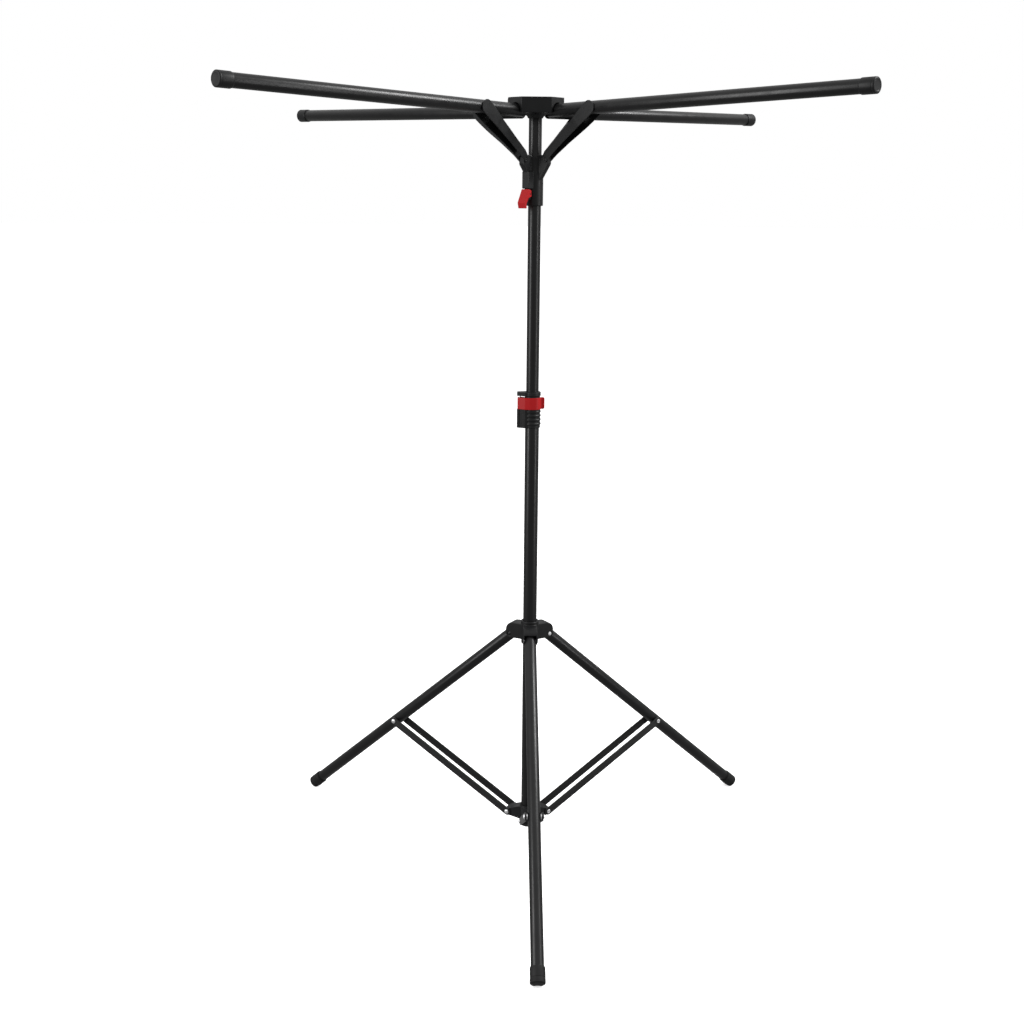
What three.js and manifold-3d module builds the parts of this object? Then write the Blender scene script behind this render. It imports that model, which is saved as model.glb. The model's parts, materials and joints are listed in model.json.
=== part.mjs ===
// Folding four-arm tripod rack: a telescoping mast on three legs, with four arms that fold down
// like an umbrella. Millimetres, +Z up, floor at z = 0, origin on the mast's axis. The arms lie
// along +X, +Y, -X and -Y; the legs stand at -45, 75 and 195 degrees.
import * as THREE from "three";
import { mergeVertices } from "three/addons/utils/BufferGeometryUtils.js";
import Module from "manifold-3d";

const wasm = await Module();
wasm.setup();

// ---------------------------------------------------------------- driving dimensions
const GAP = 0.3; // between pieces that touch
const RUNNING = 0.03; // radial clearance of a pin in its hole
const PIN_SIDES = 16;

const ARM_ANGLES = { px: 0, py: 90, nx: 180, ny: 270 };
const LEG_ANGLES = { front: -45, right: 75, left: 195 };

// mast tubes
const LOWER_POLE = { radius: 14, wall: 1.2, bottom: 50.3, top: 957 };
const UPPER_POLE = { radius: 12.5, wall: 1.2, bottom: 640, top: 1522.7 };
const LOWER_BORE = LOWER_POLE.radius + GAP;
const UPPER_BORE = UPPER_POLE.radius + GAP;

// arms: the pivot in the hub, the axis' tilt above level, the length from pivot to tip
const ARM = { radius: 12, wall: 1.2, pivotR: 44, pivotZ: 1507.66, tilt: 1.25, length: 677.56 };
const ARM_TAIL = 8; // tube beyond a pivot
const ARM_CAP = { radius: 13.3, length: 27.5, end: 3.5 };
const ARM_PIN = 2.5;

// top hub
const HUB = { faceR: 52.7, faceHalf: 27.9, bottom: 1502.5, top: 1531.5 };
const HUB_POCKET = { half: 12.6, inner: 20, outer: 51, top: 1526.5, spring: 1508.5 };
const HUB_NECK = { radius: 13.9, bottom: 1494.5, waistR: 16, waist: 1498.5, flareR: 20 };

// struts between the runner and the arms
const STRUT = { pivotR: 32, pivotZ: 1418.95, headR: 141, headZ: 1508.5 };
const STRUT_HALF = { foot: 7.2, head: 14.3, from: 0, to: 105 };
const STRUT_CHEEK = 1.9;
const STRUT_WEB = { start: 15.7, end: 103.2, thickness: 2.2 };
const STRUT_OUTLINE = [
  [-5.5, -5.6, 5.2],
  [18.2, -3.8, 8],
  [54.2, -4.6, 60],
  [94.2, -9.5, 60],
  [126.2, -12.9, 40],
  [156, -14.6, 12],
  [156, 12.4, 12],
  [129.2, 11.6, 20],
  [100.2, 9.7, 60],
  [53.2, 8, 60],
  [-5.5, 6.6, 5.8],
];

// runner that slides on the upper pole
const RUNNER = { radius: 16.3, bottom: 1332, top: 1424, ear: 37.5, earTop: 1427, earHalf: 5 };
const LATCH = { half: 9, reach: 26.5, bottom: 1364.2, top: 1396, tongue: 3.5 };
const TRIGGER_PIVOT = { r: 21.5, z: 1354, pin: 1.3 };

// height clamp on the lower pole's top
const CLAMP = { angle: 225, bottom: 898.8, block: 936.1, lever: 959.9, ring: 962.9, top: 970.9 };
const CLAMP_PIN = { r: 24.5, radius: 1.6 };
const CLAMP_RIB = { count: 4, first: 905.4, pitch: 8.2, height: 3.4, radius: 17.2 };

// tripod crown
const CROWN = { radius: 18.5, top: 495, skirtR: 17.5, bottom: 446, earHalf: 14, earR: 49 };
const CROWN_EAR = { bottom: 455, top: 487 };
const LEG_PIVOT = { r: 41, z: 462.5, pin: 3 };
const LEG = { radius: 12, wall: 1.2, footR: 566, footZ: 8, jointR: 330 };
const FOOT = { radius: 14, length: 30, end: 4 };
const KNOB = { angle: 135, z: 472, reach: 46 };

// lower hub and brace bars
const LOWER_HUB = { radius: 17, bottom: 37, top: 84, lugHalf: 14.7 };
const BRACE_PIVOT = { r: 42, z: 63.5 };
const BAR = { half: 8, inner: 15, thickness: 2.5 };
const RIVET = { radius: 3, head: 5, height: 3.2 };
// the side of each brace pair that carries the rivets' domed heads
const HEAD_SIDE = { front: -1, right: 1, left: 1 };

// derived
const LEG_SLOPE = Math.atan2(LEG_PIVOT.z - LEG.footZ, LEG.footR - LEG_PIVOT.r);
const LEG_LENGTH = Math.hypot(LEG_PIVOT.z - LEG.footZ, LEG.footR - LEG_PIVOT.r);
const LEG_JOINT = (LEG.jointR - LEG_PIVOT.r) / Math.cos(LEG_SLOPE);
const JOINT_Z = LEG_PIVOT.z - LEG_JOINT * Math.sin(LEG_SLOPE);
const BAR_SLOPE = Math.atan2(JOINT_Z - BRACE_PIVOT.z, LEG.jointR - BRACE_PIVOT.r);
const BAR_LENGTH = Math.hypot(JOINT_Z - BRACE_PIVOT.z, LEG.jointR - BRACE_PIVOT.r);
const STRUT_SLOPE = Math.atan2(STRUT.headZ - STRUT.pivotZ, STRUT.headR - STRUT.pivotR);

// ---------------------------------------------------------------- shape helpers
const rad = THREE.MathUtils.degToRad;

function solid(geometry) {
  const bare = new THREE.BufferGeometry();
  bare.setAttribute("position", geometry.getAttribute("position"));
  if (geometry.index) bare.setIndex(geometry.index);
  const merged = mergeVertices(bare.index ? bare.toNonIndexed() : bare, 1e-3);
  const index = merged.index.array;
  const kept = [];
  for (let i = 0; i < index.length; i += 3) {
    const [a, b, c] = [index[i], index[i + 1], index[i + 2]];
    if (a !== b && b !== c && c !== a) kept.push(a, b, c);
  }
  const build = (triangles) =>
    new wasm.Manifold(
      new wasm.Mesh({
        numProp: 3,
        vertProperties: merged.attributes.position.array,
        triVerts: new Uint32Array(triangles),
      }),
    );
  const made = build(kept);
  return made.volume() < 0 ? build(kept.reverse()) : made;
}

// An outline from corners [x, y, radius], each corner rounded by its radius.
function outline(corners, steps = 4) {
  const points = [];
  corners.forEach(([x, y, radius = 0], i) => {
    const corner = new THREE.Vector2(x, y);
    const before = corners[(i + corners.length - 1) % corners.length];
    const after = corners[(i + 1) % corners.length];
    const back = new THREE.Vector2(before[0] - x, before[1] - y).normalize();
    const ahead = new THREE.Vector2(after[0] - x, after[1] - y).normalize();
    const half = Math.acos(THREE.MathUtils.clamp(back.dot(ahead), -1, 1)) / 2;
    if (!radius || Math.PI / 2 - half < 0.01) {
      points.push(corner);
      return;
    }
    const middle = back.clone().add(ahead).normalize();
    const centre = corner.clone().addScaledVector(middle, radius / Math.sin(half));
    const start = corner.clone().addScaledVector(back, radius / Math.tan(half)).sub(centre);
    const end = corner.clone().addScaledVector(ahead, radius / Math.tan(half)).sub(centre);
    const turn = Math.atan2(start.cross(end), start.dot(end));
    const count = Math.max(1, Math.round((steps * Math.abs(turn)) / (Math.PI / 2)));
    for (let k = 0; k <= count; k++) {
      points.push(start.clone().rotateAround(new THREE.Vector2(), (turn * k) / count).add(centre));
    }
  });
  return new THREE.Shape(points);
}

// A shape in the X-Y plane, raised from z0 to z1.
function prism(corners, z0, z1) {
  const geometry = new THREE.ExtrudeGeometry(outline(corners), {
    depth: z1 - z0,
    bevelEnabled: false,
  });
  return geometry.translate(0, 0, z0);
}

// A shape in the X-Z plane, from y0 to y1.
function slab(corners, y0, y1) {
  const geometry = new THREE.ExtrudeGeometry(outline(corners), {
    depth: y1 - y0,
    bevelEnabled: false,
  });
  return geometry.rotateX(Math.PI / 2).translate(0, y1, 0);
}

// A profile of [radius, height] points turned about the Z axis.
function turned(profile, segments = 32) {
  const points = [...profile, profile[0]].map(([r, z]) => new THREE.Vector2(r, z));
  return new THREE.LatheGeometry(points, segments).rotateX(Math.PI / 2);
}

// A profile of [radius, x] points turned about the X axis.
function turnedX(profile, segments = 24) {
  return turned(profile, segments).rotateY(Math.PI / 2);
}

function block(x0, x1, y0, y1, z0, z1) {
  const geometry = new THREE.BoxGeometry(x1 - x0, y1 - y0, z1 - z0);
  return geometry.translate((x0 + x1) / 2, (y0 + y1) / 2, (z0 + z1) / 2);
}

// A round bar along Y from y0 to y1, its axis at (x, z).
function rodY(radius, x, z, y0, y1, segments = PIN_SIDES) {
  const geometry = new THREE.CylinderGeometry(radius, radius, y1 - y0, segments);
  return geometry.translate(x, (y0 + y1) / 2, z);
}

// A hole along Y that clears a pin of the given radius at every angle.
function pinHole(radius, x, z, y0 = -20, y1 = 20) {
  return rodY((radius + RUNNING) / Math.cos(Math.PI / PIN_SIDES), x, z, y0, y1);
}

function rodX(radius, y, z, x0, x1, segments = 24) {
  const geometry = new THREE.CylinderGeometry(radius, radius, x1 - x0, segments);
  return geometry.rotateZ(Math.PI / 2).translate((x0 + x1) / 2, y, z);
}

function rodZ(radius, x, y, z0, z1, segments = 16) {
  const geometry = new THREE.CylinderGeometry(radius, radius, z1 - z0, segments);
  return geometry.rotateX(Math.PI / 2).translate(x, y, (z0 + z1) / 2);
}

function join(...geometries) {
  return geometries.map(solid).reduce((a, b) => a.add(b));
}

function cut(body, ...geometries) {
  return geometries.map(solid).reduce((a, b) => a.subtract(b), body);
}

// ---------------------------------------------------------------- the group
const rack = new THREE.Group();
rack.name = "four_arm_tripod_rack";

const COLOURS = {
  tube: { color: 0x1d1d1f, metalness: 0.3, roughness: 0.45 },
  plastic: { color: 0x17181a, metalness: 0, roughness: 0.55 },
  red: { color: 0xb3242c, metalness: 0, roughness: 0.4 },
  steel: { color: 0xcdcdcd, metalness: 1, roughness: 0.3 },
};

// Adds a body as one named mesh. Its own frame has X outwards from the mast; place puts that
// frame at radius r and height z, tipped down by tilt and turned to its angle about the mast.
function place(name, body, look, { angle = 0, r = 0, z = 0, tilt = 0 } = {}) {
  const made = body.getMesh();
  const geometry = new THREE.BufferGeometry();
  geometry.setAttribute("position", new THREE.BufferAttribute(made.vertProperties, 3));
  geometry.setIndex(new THREE.BufferAttribute(made.triVerts, 1));
  geometry.computeVertexNormals();
  const material = new THREE.MeshStandardMaterial({ ...COLOURS[look], flatShading: true });
  const mesh = new THREE.Mesh(geometry, material);
  mesh.name = name;
  mesh.rotation.set(0, tilt, rad(angle), "ZYX");
  mesh.position.set(r * Math.cos(rad(angle)), r * Math.sin(rad(angle)), z);
  rack.add(mesh);
}

function tube({ radius, wall }, from, to) {
  return [
    [radius - wall, from],
    [radius, from],
    [radius, to],
    [radius - wall, to],
  ];
}

// ---------------------------------------------------------------- mast
place("lower_pole", join(turned(tube(LOWER_POLE, LOWER_POLE.bottom, LOWER_POLE.top))), "tube");
place("upper_pole", join(turned(tube(UPPER_POLE, UPPER_POLE.bottom, UPPER_POLE.top))), "tube");

const bushR = LOWER_POLE.radius - LOWER_POLE.wall - 0.08;
const spigotR = UPPER_POLE.radius - UPPER_POLE.wall - GAP;
const poleBush = turned([
  [8, UPPER_POLE.bottom - 20],
  [bushR - 0.8, UPPER_POLE.bottom - 20],
  [bushR, UPPER_POLE.bottom - 19],
  [bushR, UPPER_POLE.bottom - GAP],
  [spigotR, UPPER_POLE.bottom - GAP],
  [spigotR, UPPER_POLE.bottom + 15],
  [8, UPPER_POLE.bottom + 15],
]);
place("pole_bush", join(poleBush), "plastic");

// ---------------------------------------------------------------- top hub, arms
const archR = HUB_POCKET.half;
const hubFlat = HUB.faceR / Math.SQRT2;
const hubSide = HUB.faceHalf / Math.SQRT2;
const hubNear = hubFlat - hubSide;
const hubFar = hubFlat + hubSide;
const octagon = [];
for (const [sx, sy, swap] of [
  [1, 1, false],
  [-1, 1, true],
  [-1, -1, false],
  [1, -1, true],
]) {
  const first = [sx * hubFar, sy * hubNear, 2.5];
  const second = [sx * hubNear, sy * hubFar, 2.5];
  octagon.push(...(swap ? [second, first] : [first, second]));
}
let topHub = join(
  prism(octagon, HUB.bottom, HUB.top),
  turned([
    [0, HUB_NECK.bottom],
    [HUB_NECK.radius, HUB_NECK.bottom],
    [HUB_NECK.waistR, HUB_NECK.waist],
    [HUB_NECK.flareR, HUB.bottom + 0.5],
    [0, HUB.bottom + 0.5],
  ]),
);
topHub = cut(topHub, rodZ(UPPER_BORE, 0, 0, HUB_NECK.bottom - 1, UPPER_POLE.top + GAP, 32));
for (const angle of Object.values(ARM_ANGLES)) {
  const openings = [
    block(HUB_POCKET.inner, HUB_POCKET.outer, -archR, archR, HUB.bottom - 1, HUB_POCKET.top),
    block(HUB_POCKET.outer - 1, 60, -archR, archR, HUB.bottom - 1, HUB_POCKET.spring),
    rodX(archR, 0, HUB_POCKET.spring, HUB_POCKET.outer - 1, 60),
    pinHole(ARM_PIN, ARM.pivotR, ARM.pivotZ, -17, 17),
  ];
  topHub = cut(topHub, ...openings.map((opening) => opening.rotateZ(rad(angle))));
}
place("top_hub", topHub, "plastic");

const capStart = ARM.length - ARM_CAP.length;
const armTube = cut(
  join(turnedX(tube(ARM, -ARM_TAIL, ARM.length - ARM_CAP.end - GAP))),
  pinHole(ARM_PIN, 0, 0),
);
const armCap = join(
  turnedX([
    [ARM.radius + GAP, capStart],
    [ARM_CAP.radius, capStart],
    [ARM_CAP.radius, ARM.length - 1],
    [ARM_CAP.radius - 1, ARM.length],
    [0, ARM.length],
    [0, ARM.length - ARM_CAP.end],
    [ARM.radius + GAP, ARM.length - ARM_CAP.end],
  ]),
);
const armPin = join(rodY(ARM_PIN, 0, 0, -16.7, 16.7));
for (const [side, angle] of Object.entries(ARM_ANGLES)) {
  const seat = { angle, r: ARM.pivotR, z: ARM.pivotZ, tilt: -rad(ARM.tilt) };
  place(`arm_${side}`, armTube, "tube", seat);
  place(`arm_cap_${side}`, armCap, "plastic", seat);
  place(`arm_pin_${side}`, armPin, "steel", { ...seat, tilt: 0 });
}

// ---------------------------------------------------------------- struts
// The strut seen from above, its outer faces moved in by inset: narrow on the runner's ear and
// wide round the arm.
const strutPlan = (inset) => {
  const [foot, head] = [STRUT_HALF.foot - inset, STRUT_HALF.head - inset];
  const half = [[180, head], [STRUT_HALF.to, head], [STRUT_HALF.from, foot], [-20, foot]];
  const other = half.map(([x, y]) => [x, -y]).reverse();
  return join(prism([...half, ...other], -40, 40));
};
const webTop = [
  [STRUT_WEB.start, 7 - STRUT_WEB.thickness, 1],
  [53.2, 8 - STRUT_WEB.thickness],
  [100.2, 9.7 - STRUT_WEB.thickness],
  [STRUT_WEB.end, 9.9 - STRUT_WEB.thickness],
];
const underWeb = [[-20, -30], [180, -30], [180, 4], [STRUT_WEB.end, 4], ...webTop.reverse(), [-20, 4]];
const channel = join(
  slab(underWeb, -20, 20),
  block(-20, STRUT_WEB.start, -20, 20, -30, 30),
  block(STRUT_WEB.end, 180, -20, 20, -30, 30),
).intersect(strutPlan(STRUT_CHEEK));
const strut = cut(
  join(slab(STRUT_OUTLINE, -20, 20)).intersect(strutPlan(0)).subtract(channel),
  pinHole(ARM_PIN, 0, 0),
);
const strutPin = join(rodY(ARM_PIN, 0, 0, GAP - STRUT_HALF.foot, STRUT_HALF.foot - GAP));
for (const [side, angle] of Object.entries(ARM_ANGLES)) {
  const seat = { angle, r: STRUT.pivotR, z: STRUT.pivotZ, tilt: -STRUT_SLOPE };
  place(`strut_${side}`, strut, "plastic", seat);
  place(`strut_pin_${side}`, strutPin, "plastic", { ...seat, tilt: 0 });
}

// ---------------------------------------------------------------- runner and its trigger
const earOutline = [
  [0, RUNNER.bottom + 46],
  [RUNNER.radius - 1, RUNNER.bottom + 48],
  [RUNNER.ear, RUNNER.bottom + 78, 6],
  [RUNNER.ear, RUNNER.earTop, 6],
  [0, RUNNER.earTop],
];
const earParts = Object.values(ARM_ANGLES).map((angle) =>
  slab(earOutline, -RUNNER.earHalf, RUNNER.earHalf).rotateZ(rad(angle)),
);
const latchAngle = rad(ARM_ANGLES.ny);
const latchParts = [
  slab([[0, LATCH.bottom], [LATCH.reach, LATCH.bottom, 1], [LATCH.reach, LATCH.top], [0, LATCH.top]],
    -LATCH.half, LATCH.half),
  slab([[0, 1344], [19, 1344], [24.4, 1351, 3], [24.4, LATCH.bottom + 1], [0, LATCH.bottom + 1]],
    -LATCH.tongue, LATCH.tongue),
].map((part) => part.rotateZ(latchAngle));
let runner = join(
  turned([
    [0, RUNNER.bottom],
    [RUNNER.radius - 0.8, RUNNER.bottom],
    [RUNNER.radius, RUNNER.bottom + 0.8],
    [RUNNER.radius, RUNNER.top],
    [0, RUNNER.top],
  ]),
  ...earParts,
  ...latchParts,
);
runner = cut(
  runner,
  rodZ(UPPER_BORE, 0, 0, RUNNER.bottom - 1, RUNNER.earTop + 1, 32),
  pinHole(TRIGGER_PIVOT.pin, TRIGGER_PIVOT.r, TRIGGER_PIVOT.z).rotateZ(latchAngle),
  ...Object.values(ARM_ANGLES).map((angle) =>
    pinHole(ARM_PIN, STRUT.pivotR, STRUT.pivotZ).rotateZ(rad(angle)),
  ),
);
place("runner", runner, "plastic");

let trigger = join(
  slab(
    [
      [19, 1361, 1],
      [26.9, 1363.6, 1],
      [38.5, 1338, 3],
      [36, 1327.3, 1],
      [31, 1327.3, 1],
      [32, 1335.5, 3],
      [26, 1347, 2],
      [18, 1349.5, 1],
    ],
    -LATCH.half,
    LATCH.half,
  ),
);
trigger = cut(
  trigger,
  slab([[10, 1340], [22, 1340], [25, 1350, 2], [24.9, 1370], [10, 1370]],
    -LATCH.tongue - GAP, LATCH.tongue + GAP),
  pinHole(TRIGGER_PIVOT.pin, TRIGGER_PIVOT.r, TRIGGER_PIVOT.z),
);
place("trigger", trigger, "red", { angle: ARM_ANGLES.ny });
const triggerPinEnd = LATCH.half - 0.4;
const triggerPin = rodY(TRIGGER_PIVOT.pin, TRIGGER_PIVOT.r, TRIGGER_PIVOT.z, -triggerPinEnd, triggerPinEnd);
place("trigger_pin", join(triggerPin), "plastic", { angle: ARM_ANGLES.ny });

// ---------------------------------------------------------------- height clamp
// Its own frame has X towards the lever's hinge and Y towards the lever's closed side.
const lugOutline = [
  [0, -10],
  [14, -10, 6],
  [30.6, -5.6, 5.4],
  [30.6, 5.6, 5.4],
  [14, 13.5, 6],
  [0, 13.5],
];
const clampRing = (r, z0, z1) =>
  turned([
    [0, z0],
    [r - 0.6, z0],
    [r, z0 + 0.6],
    [r, z1 - 0.6],
    [r - 0.6, z1],
    [0, z1],
  ]);
const clampRibs = [];
for (let i = 0; i < CLAMP_RIB.count; i++) {
  const z = CLAMP_RIB.first + i * CLAMP_RIB.pitch;
  const rib = [
    [0, z],
    [CLAMP_RIB.radius, z],
    [CLAMP_RIB.radius, z + CLAMP_RIB.height],
    [0, z + CLAMP_RIB.height],
  ];
  clampRibs.push(turned(rib));
}
const clampHoleR = (CLAMP_PIN.radius + RUNNING) / Math.cos(Math.PI / PIN_SIDES);
const clampHole = (z0, z1) => rodZ(clampHoleR, CLAMP_PIN.r, 0, z0, z1);
let clampBody = join(
  clampRing(16, CLAMP.bottom, CLAMP.block),
  clampRing(15.5, CLAMP.block - 1, CLAMP.ring + 1),
  clampRing(16.8, CLAMP.ring, CLAMP.top),
  prism(lugOutline, CLAMP.bottom, CLAMP.block),
  prism(lugOutline, CLAMP.ring, CLAMP.top),
  ...clampRibs,
);
clampBody = cut(
  clampBody,
  rodZ(LOWER_BORE, 0, 0, CLAMP.bottom - 1, LOWER_POLE.top + GAP, 32),
  rodZ(UPPER_BORE, 0, 0, CLAMP.bottom, CLAMP.top + 1, 32),
  clampHole(CLAMP.bottom + 4, CLAMP.top + 1),
);
place("clamp_body", clampBody, "plastic", { angle: CLAMP.angle });

const leverOutline = [
  [30, -1.5, 5],
  [29.5, 5.5, 4],
  [15, 14.5, 8],
  [4.5, 17.9, 12],
  [-10, 16.8, 12],
  [-16.6, 7, 8],
  [-17.6, 2.2, 1],
  [-24.5, 1.8, 1],
  [-24.5, -1.6, 1],
  [-16, -1.6],
];
let lever = join(
  prism(leverOutline.concat([[-16, -1], [15, -2], [19, -5, 3]]), CLAMP.block + GAP, CLAMP.lever),
);
lever = cut(
  lever,
  rodZ(15.9, 0, 0, CLAMP.block - 1, CLAMP.lever + 1, 32),
  block(-30, 15.9, -30, -1.6, CLAMP.block - 1, CLAMP.lever + 1),
  clampHole(CLAMP.block - 1, CLAMP.lever + 1),
);
place("clamp_lever", lever, "red", { angle: CLAMP.angle });
const clampPin = rodZ(CLAMP_PIN.radius, CLAMP_PIN.r, 0, CLAMP.bottom + 4 + GAP, CLAMP.top - 0.3);
place("clamp_pin", join(clampPin), "steel", { angle: CLAMP.angle });

// ---------------------------------------------------------------- crown and legs
const crownEar = [
  [0, CROWN_EAR.bottom],
  [CROWN.earR, CROWN_EAR.bottom, 7.4],
  [CROWN.earR, CROWN_EAR.top, 10],
  [0, CROWN_EAR.top + 1.5],
];
const crownEars = Object.values(LEG_ANGLES).map((angle) =>
  slab(crownEar, -CROWN.earHalf, CROWN.earHalf).rotateZ(rad(angle)),
);
const knobAngle = rad(KNOB.angle);
let crown = join(
  turned([
    [0, CROWN.bottom],
    [CROWN.skirtR, CROWN.bottom],
    [CROWN.skirtR, CROWN_EAR.bottom],
    [CROWN.radius, CROWN_EAR.bottom + 2],
    [CROWN.radius, CROWN.top - 1],
    [CROWN.radius - 1, CROWN.top],
    [0, CROWN.top],
  ]),
  ...crownEars,
  rodX(8.5, 0, KNOB.z, 12, 25.5).rotateZ(knobAngle),
);
const legHalf = LEG.radius + GAP;
const swing = Math.hypot(ARM_TAIL, LEG.radius) + 0.6;
for (const [side, angle] of Object.entries(LEG_ANGLES)) {
  const openings = [
    rodY(swing, LEG_PIVOT.r, LEG_PIVOT.z, -legHalf, legHalf, 32),
    block(LEG_PIVOT.r - swing, 70, -legHalf, legHalf, 430, LEG_PIVOT.z),
    pinHole(LEG_PIVOT.pin, LEG_PIVOT.r, LEG_PIVOT.z),
  ];
  crown = cut(crown, ...openings.map((opening) => opening.rotateZ(rad(angle))));
}
crown = cut(
  crown,
  rodZ(LOWER_BORE, 0, 0, CROWN.bottom - 1, CROWN.top + 1, 32),
  rodX(3.15, 0, KNOB.z, 10, 30, 20).rotateZ(knobAngle),
);
place("crown", crown, "plastic");

const knob = turnedX([
  [0, LOWER_BORE + GAP],
  [3, LOWER_BORE + GAP],
  [3, 25.9],
  [7, 25.9],
  [7, 28.5],
  [11, 30],
  [11.8, 31.5],
  [11.8, KNOB.reach - 3],
  [10, KNOB.reach - 0.6],
  [7, KNOB.reach],
  [0, KNOB.reach],
], 20);
place("crown_lock_knob", join(knob), "plastic", { angle: KNOB.angle, z: KNOB.z });

const legTube = cut(
  join(turnedX(tube(LEG, -ARM_TAIL, LEG_LENGTH - FOOT.end - GAP))),
  pinHole(LEG_PIVOT.pin, 0, 0),
  pinHole(RIVET.radius, LEG_JOINT, 0),
);
const floor = block(-100, 100, -60, 60, -60, 0)
  .translate(LEG.footR - LEG_PIVOT.r, 0, -LEG_PIVOT.z)
  .rotateY(-LEG_SLOPE);
const footCap = cut(
  join(
    turnedX([
      [LEG.radius + GAP, LEG_LENGTH - FOOT.length],
      [FOOT.radius, LEG_LENGTH - FOOT.length],
      [FOOT.radius, LEG_LENGTH - 1.5],
      [FOOT.radius - 0.44, LEG_LENGTH - 0.44],
      [FOOT.radius - 1.5, LEG_LENGTH],
      [0, LEG_LENGTH],
      [0, LEG_LENGTH - FOOT.end],
      [LEG.radius + GAP, LEG_LENGTH - FOOT.end],
    ]),
  ),
  floor,
);
const crownPin = join(rodY(LEG_PIVOT.pin, 0, 0, GAP - CROWN.earHalf, CROWN.earHalf - 3));
for (const [side, angle] of Object.entries(LEG_ANGLES)) {
  const seat = { angle, r: LEG_PIVOT.r, z: LEG_PIVOT.z, tilt: LEG_SLOPE };
  place(`leg_${side}`, legTube, "tube", seat);
  place(`foot_cap_${side}`, footCap, "plastic", seat);
  place(`crown_pin_${side}`, crownPin, "steel", { angle, r: LEG_PIVOT.r, z: LEG_PIVOT.z });
}

// ---------------------------------------------------------------- lower hub and braces
const lug = [
  [0, 51],
  [30, 53.9, 10],
  [50, 55.5, 7.6],
  [50, 71.5, 7.8],
  [37, 71.8, 12],
  [13, 81, 5],
  [0, 81],
];
let lowerHub = join(
  turned([
    [0, LOWER_HUB.bottom],
    [LOWER_HUB.radius - 3, LOWER_HUB.bottom],
    [LOWER_HUB.radius, LOWER_HUB.bottom + 3],
    [LOWER_HUB.radius, LOWER_HUB.top - 1],
    [LOWER_HUB.radius - 1, LOWER_HUB.top],
    [0, LOWER_HUB.top],
  ]),
  ...Object.values(LEG_ANGLES).map((angle) =>
    slab(lug, -LOWER_HUB.lugHalf, LOWER_HUB.lugHalf).rotateZ(rad(angle)),
  ),
);
lowerHub = cut(
  lowerHub,
  rodZ(LOWER_BORE, 0, 0, LOWER_POLE.bottom - GAP, LOWER_HUB.top + 1, 32),
  ...Object.values(LEG_ANGLES).map((angle) =>
    pinHole(RIVET.radius, BRACE_PIVOT.r, BRACE_PIVOT.z).rotateZ(rad(angle)),
  ),
);
place("lower_hub", lowerHub, "plastic");

// A rivet along Y through the bars: a domed head on one side, a hollow rolled end on the other.
const seatY = BAR.inner + BAR.thickness + GAP;
const domed = (inner) =>
  turned([
    [0, inner],
    [RIVET.radius, inner],
    [RIVET.radius, seatY],
    [RIVET.head, seatY],
    [RIVET.head, seatY + 0.9],
    [RIVET.head - 1.2, seatY + 2.3],
    [RIVET.head - 3, seatY + RIVET.height - 0.2],
    [0, seatY + RIVET.height],
  ], 16);
const rolled = (inner) =>
  turned([
    [0, inner],
    [RIVET.radius, inner],
    [RIVET.radius, seatY],
    [RIVET.head - 0.8, seatY],
    [RIVET.head - 0.8, seatY + 1],
    [RIVET.head - 1.8, seatY + 1.8],
    [2.1, seatY + 1.4],
    [2.1, seatY - 2],
    [0, seatY - 2],
  ], 16);
const alongY = (geometry, sign) => geometry.rotateX((-sign * Math.PI) / 2);
const bar = (sign) =>
  cut(
    join(
      slab(
        [
          [-BAR.half, -BAR.half, BAR.half - 0.05],
          [BAR_LENGTH + BAR.half, -BAR.half, BAR.half - 0.05],
          [BAR_LENGTH + BAR.half, BAR.half, BAR.half - 0.05],
          [-BAR.half, BAR.half, BAR.half - 0.05],
        ],
        sign > 0 ? BAR.inner : -BAR.inner - BAR.thickness,
        sign > 0 ? BAR.inner + BAR.thickness : -BAR.inner,
      ),
    ),
    pinHole(RIVET.radius, 0, 0),
    pinHole(RIVET.radius, BAR_LENGTH, 0),
  );
for (const [side, angle] of Object.entries(LEG_ANGLES)) {
  const head = HEAD_SIDE[side];
  const seat = { angle, r: BRACE_PIVOT.r, z: BRACE_PIVOT.z, tilt: -BAR_SLOPE };
  const joint = { angle, r: LEG.jointR, z: JOINT_Z };
  const through = join(alongY(domed(-5), head), alongY(rolled(-5), -head));
  place(`brace_bar_${side}_a`, bar(1), "tube", seat);
  place(`brace_bar_${side}_b`, bar(-1), "tube", seat);
  place(`hub_rivet_${side}`, through, "steel", { ...seat, tilt: 0 });
  const [inner, outer] = [LEG.radius + GAP, BAR.inner - GAP];
  const collar = [[0, inner], [RIVET.head, inner], [RIVET.head, outer], [0, outer]];
  const headEnd = join(alongY(domed(outer - 1), head), alongY(turned(collar, 16), head));
  const tailEnd = join(alongY(rolled(outer - 1), -head), alongY(turned(collar, 16), -head));
  place(`leg_rivet_${side}_head`, headEnd, "steel", joint);
  place(`leg_rivet_${side}_tail`, tailEnd, "steel", joint);
}

export default rack;
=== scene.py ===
"""Looks of the four-arm folding tripod rack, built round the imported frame. Metres, +Z up.

Shapes are drawn in millimetres in their own frames (X outwards from the mast) and scaled once.
"""

import json
import math

import bpy
from mathutils import Matrix, Vector


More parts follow.
